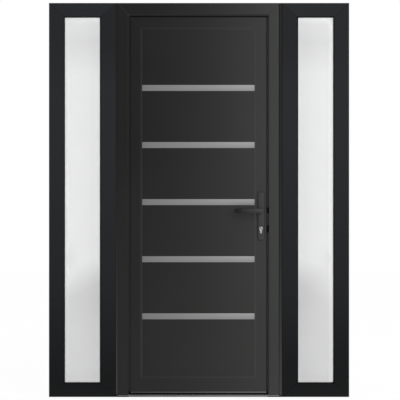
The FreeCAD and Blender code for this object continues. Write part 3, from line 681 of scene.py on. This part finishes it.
def disc(name, radius, centre, depth, turn, sides):
    focus()
    bpy.ops.mesh.primitive_cylinder_add(vertices=sides, radius=radius, depth=depth,
                                        location=centre, rotation=turn)
    return started(name)


print("blocks and discs ready")

# %% [markdown]
# ## Shaping a piece
# Faces and edges are picked by where they are or which way they look, and then extruded, inset
# or bevelled. Modifiers are applied at once. Joining and turning can leave a mesh inside out,
# so one helper merges its doubles and makes its faces look outwards.

# %% Picking and shaping


def pick(kind, test):
    """Select the faces or edges whose middle and direction pass a test."""
    bpy.ops.mesh.select_mode(type=kind)
    bpy.ops.mesh.select_all(action="DESELECT")
    data = bpy.context.object.data
    cage = bmesh.from_edit_mesh(data)
    if kind == "FACE":
        found = [face for face in cage.faces if test(face.calc_center_median(), face.normal)]
    else:
        found = [edge for edge in cage.edges
                 if test((edge.verts[0].co + edge.verts[1].co) / 2,
                         (edge.verts[1].co - edge.verts[0].co).normalized())]
    for item in found:
        item.select_set(True)
    bmesh.update_edit_mesh(data)
    if not found:
        raise ValueError("nothing was picked")


def push(*way):
    """Extrude what is picked and move it."""
    bpy.ops.mesh.extrude_region_move(TRANSFORM_OT_translate={"value": way})


def bevel(offset, segments):
    bpy.ops.mesh.bevel(offset=offset, segments=segments, affect="EDGES")


def modify(piece, kind, **settings):
    """Add a modifier and apply it."""
    focus(piece)
    modifier = piece.modifiers.new("step", kind)
    for key, amount in settings.items():
        setattr(modifier, key, amount)
    bpy.ops.object.modifier_apply(modifier="step")


def combine(piece, tool, operation):
    """Join a piece with a tool or cut the tool out of it, and take the tool away."""
    modify(piece, "BOOLEAN", object=tool, operation=operation, solver="EXACT")
    bpy.data.objects.remove(tool)


def round_edges(piece, width, segments=2, angle=40):
    modify(piece, "BEVEL", width=width, segments=segments, limit_method="ANGLE",
           angle_limit=math.radians(angle))


def face_outwards(piece):
    """Merge doubles and make every face look outwards."""
    focus(piece)
    bpy.ops.object.mode_set(mode="EDIT")
    bpy.ops.mesh.select_all(action="SELECT")
    bpy.ops.mesh.remove_doubles(threshold=0.000002)
    bpy.ops.mesh.normals_make_consistent(inside=False)
    focus(piece)


print("shaping ready")

# %% [markdown]
# ## Finishing a piece
# What repeats is modelled once and copied, each copy with its own mesh. The last helper says
# which body the piece moves with and which solid it stands for.

# %% Copying and settling


def join(*things):
    focus(*things)
    bpy.ops.object.join()
    return bpy.context.object


def repeated(model, name, places):
    """Copies of a model, each with its own mesh, turned and moved to its place and joined."""
    made = []
    for spot, turn in places:
        copy = bpy.data.objects.new(name, model.data.copy())
        bpy.context.collection.objects.link(copy)
        copy.location, copy.rotation_euler = spot, turn
        focus(copy)
        bpy.ops.object.transform_apply(location=True, rotation=True, scale=False)
        made.append(copy)
    return join(*made)


def settle(piece, body, finish, stands_for=(), smooth=35):
    """Shade a finished piece, give it its finish and tie it to the door."""
    focus(piece)
    bpy.ops.object.shade_smooth_by_angle(angle=math.radians(smooth))
    piece.data.materials.clear()
    piece.data.materials.append(finish.material)
    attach(piece, body)
    if stands_for:
        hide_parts(*stands_for)
    print(piece.name, len(piece.data.polygons), "faces")


print("helpers ready")

# %% [markdown]
# ## Soft edges on the metal
# A sawn and polished strip never ends in a knife edge. Its solid does, so each metal node is
# copied, its loose triangles are merged and joined into flat faces again, and its edges are
# rounded a little. The round catches the light, which is what makes a strip look like metal.

# %% Soft edges
SOFT_EDGES = (
    ("outer_trim_strips", "leaf", "satin_strip", strip_metal, 0.4),
    ("inner_trim_strips", "leaf", "satin_strip", strip_metal, 0.4),
    ("strike_plate", "frame", "satin_steel", steel, 0.4),
    ("lock_faceplate", "leaf", "satin_steel", steel, 0.4),
    ("lock_bolts", "leaf", "satin_steel", steel, 0.8),
    ("lock_cylinder", "leaf", "nickel", nickel, 0.35),
    ("key_plugs", "leaf", "nickel", nickel, 0.25),
    ("hinge_frame_halves", "frame", "satin_steel", steel, 0.8),
    ("hinge_leaf_halves", "leaf", "satin_steel", steel, 0.6),
)
for node, body, slot, finish, width in SOFT_EDGES:
    piece = bpy.data.objects.new(f"{node}_soft", nodes[node].data.copy())
    bpy.context.collection.objects.link(piece)
    focus(piece)
    bpy.ops.mesh.customdata_custom_splitnormals_clear()
    bpy.ops.object.mode_set(mode="EDIT")
    bpy.ops.mesh.select_all(action="SELECT")
    bpy.ops.mesh.remove_doubles(threshold=0.00001)
    bpy.ops.mesh.dissolve_limited(angle_limit=math.radians(0.5))
    round_edges(piece, width * MM, angle=35)
    settle(piece, body, finish, (node,))

# %% [markdown]
# ## Levers
# A lever is cast in one piece: a round neck comes out of the plate and flares into a flat grip,
# whose tip turns back to the door so that no sleeve catches on it. The grip starts as a block.
# Its end face is spun about an upright axis for the bend and extruded for the tip. Both ends
# and then all long edges are rounded.

# %% Grip of a lever
GRIP = 13 * MM
BEND = 30 * MM
BEND_ANGLE = math.radians(39)
BEND_FROM_TIP = 42.6 * MM
TIP = 30.5 * MM
END_ROUND = 8 * MM
HUB_SHARE, TIP_SHARE = 0.86, 0.9


def end_of(node, outward):
    """The depth at which a node ends, towards the outside for -1 and indoors for 1."""
    low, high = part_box(node)
    return low.y if outward < 0 else high.y


def bent_grip(node, hub_end, outward):
    low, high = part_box(node)
    far = end_of(node, outward)
    near = far - outward * GRIP
    middle_z = (low.z + high.z) / 2
    bend_x = low.x + BEND_FROM_TIP
    grip = block(f"{node}_shaped", (bend_x, min(far, near), low.z),
                 (hub_end, max(far, near), high.z))
    pick("FACE", lambda middle, normal: normal.x > 0.9)
    bpy.ops.transform.resize(value=(1, 1, HUB_SHARE), center_override=(hub_end, near, middle_z))
    pick("EDGE", lambda middle, way: abs(way.z) > 0.9 and middle.x > hub_end - MM
         and abs(middle.y - far) < MM)
    bevel(END_ROUND, 6)
    pick("FACE", lambda middle, normal: normal.x < -0.9)
    bpy.ops.mesh.spin(steps=8, angle=-outward * BEND_ANGLE, axis=(0, 0, 1),
                      center=(bend_x, far - outward * BEND, 0))
    tip_way = Vector((-math.cos(BEND_ANGLE), -outward * math.sin(BEND_ANGLE), 0))
    push(*(tip_way * TIP))
    bpy.ops.transform.resize(value=(1, 1, TIP_SHARE), center_override=(low.x, near, middle_z))
    pick("EDGE", lambda middle, way: middle.x < low.x + 9 * MM and abs(way.z) < 0.1
         and abs(way.dot(tip_way)) < 0.1)
    bevel(END_ROUND, 6)
    face_outwards(grip)
    round_edges(grip, 4.5 * MM, 4, 30)
    return grip


print("grip turns back by", round(math.degrees(BEND_ANGLE)), "degrees")

# %% [markdown]
# The neck is a cylinder whose front face is pushed out three times, each time a little wider.
# It ends inside the grip, and a boolean makes one casting of the two.

# %% Levers
NECK = 9 * MM
FLARE = ((2.5, 1.07), (2.0, 1.12), (4.0, 1.02))


def lever(node, plate, outward):
    """outward is -1 for the lever on the outside face and 1 for the one indoors."""
    low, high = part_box(node)
    plate_low, plate_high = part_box(plate)
    hub_x, middle_z = (plate_low.x + plate_high.x) / 2, (low.z + high.z) / 2
    grip = bent_grip(node, plate_high.x - 3 * MM, outward)

    start = end_of(plate, outward) + outward * MM
    flare = end_of(node, outward) - outward * GRIP - outward * 5 * MM
    neck = disc("neck", NECK, (hub_x, (start + flare) / 2, middle_z), abs(flare - start),
                (QUARTER, 0, 0), 48)
    pick("FACE", lambda middle, normal: normal.y * outward > 0.9)
    for rise, widen in FLARE:
        push(0, outward * rise * MM, 0)
        bpy.ops.transform.resize(value=(widen, 1, widen), center_override=(hub_x, flare, middle_z))
    combine(grip, neck, "UNION")
    settle(grip, "handle", lever_black, (node,), 32)


lever("outer_lever", "outer_handle_plate", -1)
lever("inner_lever", "inner_handle_plate", 1)

# %% [markdown]
# ## Collars round the necks
# A lever turns in a raised collar on its plate. The collar is a disc with both ends inset and
# then bridged, which leaves a bore, and a rounded rim.

# %% Collars
COLLAR_RADIUS = 12.6 * MM
COLLAR_DEPTH, INSIDE_PLATE = 3.4 * MM, 0.4 * MM


def collar(name, plate, outward):
    face = end_of(plate, outward)
    spindle_low, spindle_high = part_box("handle_spindle")
    hub = (spindle_low + spindle_high) / 2
    centre = (hub.x, face + outward * (COLLAR_DEPTH / 2 - INSIDE_PLATE), hub.z)
    ring = disc(name, COLLAR_RADIUS, centre, COLLAR_DEPTH, (QUARTER, 0, 0), 56)
    pick("EDGE", lambda middle, way: outward * (middle.y - face) > 2 * MM and abs(way.y) < 0.1)
    bevel(1.1 * MM, 4)
    pick("FACE", lambda middle, normal: abs(normal.y) > 0.99)
    bpy.ops.mesh.inset(thickness=2.0 * MM, depth=0, use_individual=True)
    bpy.ops.mesh.inset(thickness=0.35 * MM, depth=-0.3 * MM, use_individual=True)
    bpy.ops.mesh.bridge_edge_loops()
    face_outwards(ring)
    settle(ring, "leaf", plate_black)


collar("outer_lever_collar", "outer_handle_plate", -1)
collar("inner_lever_collar", "inner_handle_plate", 1)

# %% [markdown]
# ## Screws
# One countersunk screw with a cross recess is modelled once, looking up, and copied to every
# place where the hardware is fixed. All of these places are indoors or in the rebate, so the
# outside face stays clean, as in the picture.

# %% One screw
SCREW_RADIUS, SCREW_DEPTH, SCREW_MIDDLE = 3.4 * MM, 1.2 * MM, 0.2 * MM
ARM, ARM_HALF = 1.9 * MM, 0.4 * MM
RECESS_FLOOR, OVER_SCREW = 0.2 * MM, 2 * MM

screw = disc("screw_model", SCREW_RADIUS, (0, 0, SCREW_MIDDLE), SCREW_DEPTH, (0, 0, 0), 28)
pick("FACE", lambda middle, normal: normal.z > 0.9)
bpy.ops.mesh.inset(thickness=0.5 * MM, depth=0.35 * MM)
bpy.ops.mesh.inset(thickness=0.7 * MM, depth=0.12 * MM)
for name, reach_x, reach_y in (("arm", ARM, ARM_HALF), ("cross_arm", ARM_HALF, ARM)):
    arm = block(name, (-reach_x, -reach_y, RECESS_FLOOR), (reach_x, reach_y, OVER_SCREW))
    combine(screw, arm, "DIFFERENCE")
print("screw", len(screw.data.polygons), "faces")

# %% [markdown]
# The screws' places follow from the boxes of what they hold, with the edge distances that such
# hardware has. A screw is turned towards the room, the lock side or the hinge side.

# %% Screws in their places
TO_ROOM, TO_LOCK, TO_HINGE = (-QUARTER, 0, 0), (0, QUARTER, 0), (0, -QUARTER, 0)
FACEPLATE_SCREWS = (0.16, 0.48, 0.79, 1.09, 1.42, 1.84)
HINGE_FEET = (0.2, 0.98, 1.72)
LEAF_HALF_FOOT = 46 * MM

plate_low, plate_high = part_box("inner_handle_plate")
plate_x = (plate_low.x + plate_high.x) / 2
plate_screws = repeated(screw, "inner_plate_screws", [
    ((plate_x, plate_high.y, plate_high.z - 12 * MM), TO_ROOM),
    ((plate_x, plate_high.y, plate_low.z + 12 * MM), TO_ROOM)])
settle(plate_screws, "leaf", plate_black)

face_low, face_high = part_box("lock_faceplate")
face_middle = (face_low.y + face_high.y) / 2
faceplate_screws = repeated(screw, "faceplate_screws", [
    ((face_high.x, face_middle, level), TO_LOCK) for level in FACEPLATE_SCREWS])
settle(faceplate_screws, "leaf", steel)

strike_low, strike_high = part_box("strike_plate")
strike_screws = repeated(screw, "strike_screws", [
    ((strike_low.x, strike_low.y + 7 * MM, strike_high.z - 8 * MM), TO_HINGE),
    ((strike_low.x, strike_high.y - 7 * MM, (strike_low.z + strike_high.z) / 2), TO_HINGE),
    ((strike_low.x, strike_low.y + 7 * MM, strike_low.z + 8 * MM), TO_HINGE)])
settle(strike_screws, "frame", steel)

hinge_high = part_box("hinge_leaf_halves")[1]
bracket_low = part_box("hinge_frame_halves")[0]
hinge_plate_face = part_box("leaf_hinge_stile")[1].y + 3 * MM
leaf_hinge_screws = repeated(screw, "hinge_plate_screws", [
    ((hinge_high.x - across * MM, hinge_plate_face, foot + LEAF_HALF_FOOT + up * MM), TO_ROOM)
    for foot in HINGE_FEET for across, up in ((8, 22.5), (24, 35), (24, 10))])
settle(leaf_hinge_screws, "leaf", steel)
bracket_screws = repeated(screw, "hinge_bracket_screws", [
    ((bracket_low.x, bracket_low.y + 12 * MM, foot + up * MM), TO_HINGE)
    for foot in HINGE_FEET for up in (10, 35)])
settle(bracket_screws, "frame", steel)
bpy.data.objects.remove(screw)

# %% [markdown]
# ## Rubber profiles
# Glass and panel sit between rubber lips, and the door closes against a hollow rubber bulb. All
# of them are long mouldings with mitred corners. A plane as large as the moulding is inset step
# by step: each inset goes inwards and rises or falls by a step of the profile, so the corners
# are mitred by themselves. The middle face is then deleted, and bridging the two rims closes
# the back.

# %% Mouldings


def moulding(name, low_x, high_x, low_z, high_z, level, outward, steps):
    """A mitred frame on the plane y = level, each step (inwards, up) in millimetres."""
    focus()
    middle = ((low_x + high_x) / 2, level, (low_z + high_z) / 2)
    bpy.ops.mesh.primitive_plane_add(size=1, location=middle, rotation=(-outward * QUARTER, 0, 0))
    bpy.context.object.scale = (high_x - low_x, high_z - low_z, 1)
    ring = started(name)
    bpy.ops.mesh.select_mode(type="FACE")
    bpy.ops.mesh.select_all(action="SELECT")
    for inwards, rise in steps:
        bpy.ops.mesh.inset(thickness=inwards * MM, depth=rise * MM)
    bpy.ops.mesh.delete(type="FACE")
    bpy.ops.mesh.select_mode(type="EDGE")
    bpy.ops.mesh.select_all(action="DESELECT")
    bpy.ops.mesh.select_non_manifold()
    bpy.ops.mesh.bridge_edge_loops()
    face_outwards(ring)
    return ring


def open_below(ring, level):
    """Cut a moulding off under a level and close the cuts."""
    focus(ring)
    bpy.ops.object.mode_set(mode="EDIT")
    bpy.ops.mesh.select_all(action="SELECT")
    bpy.ops.mesh.bisect(plane_co=(0, 0, level), plane_no=(0, 0, 1), clear_inner=True,
                        use_fill=True)
    focus(ring)


def settle_rubber(piece, body, *stands_for):
    settle(piece, body, rubber, stands_for, 60)


print("mouldings ready")

# %% [markdown]
# The outside lips reach under the bars' edges. They lie 1.4 mm further out than their solids on
# the outer side and at both ends, so that as much glass shows as in the picture. Indoors a
# small bead holds each pane and the panel.

# %% Lips of glass and panel
UNDER_LIP = [(0.2, 3.0), (6.8, 0.0)]
ROUND_LIP = [(0.3, 0.9), (1.2, 0.5), (2.0, 0.0), (1.4, -0.6), (0.8, -1.4), (0.3, -2.4)]
SMALL_BEAD = [(0.2, 1.6), (0.6, 0.7), (0.8, 0.1), (0.8, -0.4), (0.5, -0.9), (0.2, -1.1)]
LIP_SHIFT = 1.4 * MM
HIDDEN = 7 * MM

for side in ("left", "right"):
    seal_low, seal_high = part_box(f"{side}_glass_gasket")
    shift_left, shift_right = (LIP_SHIFT, 0) if side == "left" else (0, LIP_SHIFT)
    lips = moulding(f"{side}_glazing_lips", seal_low.x - shift_left, seal_high.x + shift_right,
                    seal_low.z - LIP_SHIFT, seal_high.z + LIP_SHIFT,
                    seal_high.y, -1, UNDER_LIP + ROUND_LIP)
    settle_rubber(lips, "frame", f"{side}_glass_gasket")
    pane_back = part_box(f"{side}_inner_pane")[1].y
    inner = moulding(f"{side}_inner_glazing_lips", seal_low.x + HIDDEN, seal_high.x - HIDDEN,
                     seal_low.z + HIDDEN, seal_high.z - HIDDEN, pane_back, 1, SMALL_BEAD)
    settle_rubber(inner, "frame")

panel_low, panel_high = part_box("panel_gasket")
panel_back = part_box("door_panel")[1].y
panel_lips = moulding("inner_panel_lips", panel_low.x + SIGHT, panel_high.x - SIGHT,
                      panel_low.z + SIGHT, panel_high.z - SIGHT, panel_back, 1, SMALL_BEAD)
settle_rubber(panel_lips, "leaf")

# %% [markdown]
# Two bulbs go round the sides and the top of the door only, one on the frame's stop and one on
# the leaf's overlap. Each is made as a whole ring that reaches below the floor line, and is cut
# off there.

# %% Bulbs of the door
BULB = [(0.4, 1.5), (1.1, 0.0), (0.3, 1.2), (0.8, 1.3), (1.4, 0.7),
        (1.4, -0.7), (0.8, -1.3), (0.3, -1.2), (1.1, 0.0), (0.4, -1.5)]
SLIM_BULB = [(inwards * 0.75, rise) for inwards, rise in BULB]
CUT_OFF = 20 * MM
EDGE_INSET = 0.5 * MM
OVERLAP = 10 * MM

stop_low, stop_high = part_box("stop_seal")
stop_bulb = moulding("stop_seal_bulb", stop_low.x, stop_high.x, stop_low.z - CUT_OFF, stop_high.z,
                     stop_low.y, 1, BULB)
open_below(stop_bulb, stop_low.z)
settle_rubber(stop_bulb, "frame", "stop_seal")

stile_low, stile_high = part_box("leaf_hinge_stile")
leaf_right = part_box("leaf_lock_stile")[1].x
leaf_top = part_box("leaf_top_rail")[1].z
leaf_bulb = moulding("overlap_seal_bulb", stile_low.x + EDGE_INSET, leaf_right - EDGE_INSET,
                     stile_low.z - CUT_OFF, leaf_top - EDGE_INSET, stile_high.y - OVERLAP,
                     -1, SLIM_BULB)
open_below(leaf_bulb, stile_low.z)
settle_rubber(leaf_bulb, "leaf")

# %% [markdown]
# ## The seal under the leaf
# Under the leaf hangs a rubber strip with three fins that wipe over the threshold. A flat block
# is cut lengthwise by bisecting, and every second strip of its underside is extruded down.

# %% Seal under the leaf
ROOT_DEPTH = 7 * MM
STRIPS = 5

fins_low, fins_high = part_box("leaf_drop_seal")
root = fins_high.z - ROOT_DEPTH
fins = block("drop_seal_fins", (fins_low.x, fins_low.y, root), fins_high)
breadth = (fins_high.y - fins_low.y) / STRIPS
for number in range(1, STRIPS):
    bpy.ops.mesh.select_all(action="SELECT")
    bpy.ops.mesh.bisect(plane_co=(0, fins_low.y + number * breadth, 0), plane_no=(0, 1, 0))
pick("FACE", lambda middle, normal: normal.z < -0.9
     and int((middle.y - fins_low.y) / breadth) % 2 == 0)
push(0, 0, (fins_low.z - root) * 0.6)
push(0, 0.25 * MM, (fins_low.z - root) * 0.4)
round_edges(fins, 0.25 * MM)
settle(fins, "leaf", rubber, ("leaf_drop_seal",))

# %% [markdown]
# ## Drip nose
# The pale line under the leaf is an aluminium nose that throws the rain clear. It is rounded
# below and cut back at its ends.

# %% Drip nose
drip_low, drip_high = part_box("leaf_drip_strip")
nose = block("drip_nose", drip_low, drip_high)
pick("EDGE", lambda middle, way: abs(way.x) > 0.9 and middle.z < drip_low.z + MM
     and middle.y < drip_low.y + MM)
bevel(0.9 * MM, 4)
pick("EDGE", lambda middle, way: abs(way.y) > 0.9 and middle.z < drip_low.z + MM)
bevel(2.5 * MM, 1)
pick("FACE", lambda middle, normal: normal.z < -0.9)
bpy.ops.mesh.inset(thickness=2 * MM, depth=-1.5 * MM)
round_edges(nose, 0.3 * MM)
settle(nose, "leaf", drip_metal, ("leaf_drip_strip",))

# %% [markdown]
# ## Coupling feet and threshold ends
# Black plastic feet close the coupling strips at the floor, and dark covers hide the lower part
# of the threshold's ends under the jambs. Both stand a little proud of what they cover.

# %% Feet and covers
FOOT_HEIGHT, FOOT_DEPTH = 19 * MM, 6 * MM
COVER_HEIGHT, COVER_DEPTH = 5.5 * MM, 0.4 * MM
PROUD = 0.9 * MM
SIDE_GAP = 0.3 * MM

feet = []
for node in ("hinge_side_coupling", "lock_side_coupling"):
    strip_low, strip_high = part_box(node)
    foot_back = strip_low.y + FOOT_DEPTH
    foot = block("foot", (strip_low.x + SIDE_GAP, strip_low.y - PROUD, 0),
                 (strip_high.x - SIDE_GAP, foot_back, FOOT_HEIGHT))
    pick("FACE", lambda middle, normal: normal.z > 0.9)
    bpy.ops.transform.resize(value=(0.9, 0.75, 1), center_override=(
        (strip_low.x + strip_high.x) / 2, foot_back, FOOT_HEIGHT))
    round_edges(foot, 0.5 * MM)
    feet.append(foot)
coupling_feet = join(*feet)
coupling_feet.name = "coupling_feet"
settle(coupling_feet, "frame", plastic)

covers = []
for node in ("hinge_jamb", "lock_jamb"):
    jamb_low, jamb_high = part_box(node)
    cover = block("cover", (jamb_low.x + SIDE_GAP, jamb_low.y - PROUD, 0),
                  (jamb_high.x - SIDE_GAP, jamb_low.y + COVER_DEPTH, COVER_HEIGHT))
    pick("EDGE", lambda middle, way: middle.y < jamb_low.y and middle.z > COVER_HEIGHT - 0.5 * MM
         and abs(way.x) > 0.9)
    bevel(0.6 * MM, 3)
    round_edges(cover, 0.15 * MM)
    covers.append(cover)
threshold_covers = join(*covers)
threshold_covers.name = "threshold_end_covers"
settle(threshold_covers, "frame", cover_plastic)

# %% [markdown]
# ## Sky
# A catalogue picture is lit flat. The world gives much of the light, and is plain white where
# the camera, a mirror or the glass sees it.

# %% Sky
SKY_LIGHT, SKY_SEEN = 0.55, 1.0

bpy.context.scene.view_settings.view_transform = "Standard"
world = bpy.data.worlds.new("studio")
bpy.context.scene.world = world
world.use_nodes = True
sky = Shading(world.node_tree)
background = sky.tree.nodes["Background"]
from_camera, from_glass, from_mirror = (
    sky.node("ShaderNodeLightPath", output=f"Is {ray} Ray")
    for ray in ("Camera", "Transmission", "Glossy"))
seen = from_camera.maths("MAXIMUM", from_glass.maths("MAXIMUM", from_mirror))
strength = sky.node("ShaderNodeMix", {"data_type": "FLOAT"}, {0: seen, 2: SKY_LIGHT, 3: SKY_SEEN})
sky.feed(background.inputs["Color"], (1, 1, 1, 1))
sky.feed(background.inputs["Strength"], strength)
print("sky light", SKY_LIGHT)

# %% [markdown]
# ## Floor and lamp
# The floor is white with a glow of its own, so that it keeps only a breath of shadow. One very
# large lamp in front, high up and to the right, adds shape.

# %% Floor and lamp
FLOOR_SIZE, UNDER_DOOR = 40, 0.5 * MM
FLOOR_GLOW, GLOW_SHARE = 1.04, 0.9
LAMP_SIZE, LAMP_WATTS = 7.0, 550
LAMP_PLACE, LAMP_AIM = (4.8, -10.4, 5.0), Vector((0, 0, 1.0))

focus()
bpy.ops.mesh.primitive_plane_add(size=FLOOR_SIZE, location=(0, 0, -UNDER_DOOR))
floor = bpy.context.object
floor.name = "floor"
paint = Finish("floor_white", Roughness=0.9, Base_Color=(0.9, 0.9, 0.9, 1))
glow = paint.node("ShaderNodeEmission", {}, {"Color": (1, 1, 1, 1), "Strength": FLOOR_GLOW})
matt = Wire(paint, paint.shader.outputs[0])
blend = paint.node("ShaderNodeMixShader", {}, {0: GLOW_SHARE, 1: matt, 2: glow})
paint.feed(paint.tree.nodes["Material Output"].inputs["Surface"], blend)
floor.data.materials.append(paint.material)

lamp_data = bpy.data.lights.new("front_lamp", "AREA")
lamp_data.shape = "RECTANGLE"
lamp_data.size, lamp_data.size_y = LAMP_SIZE, LAMP_SIZE
lamp_data.energy = LAMP_WATTS
lamp = bpy.data.objects.new("front_lamp", lamp_data)
bpy.context.collection.objects.link(lamp)
lamp.location = LAMP_PLACE
lamp.rotation_euler = (LAMP_AIM - lamp.location).to_track_quat("-Z", "Y").to_euler()
print("stage ready")
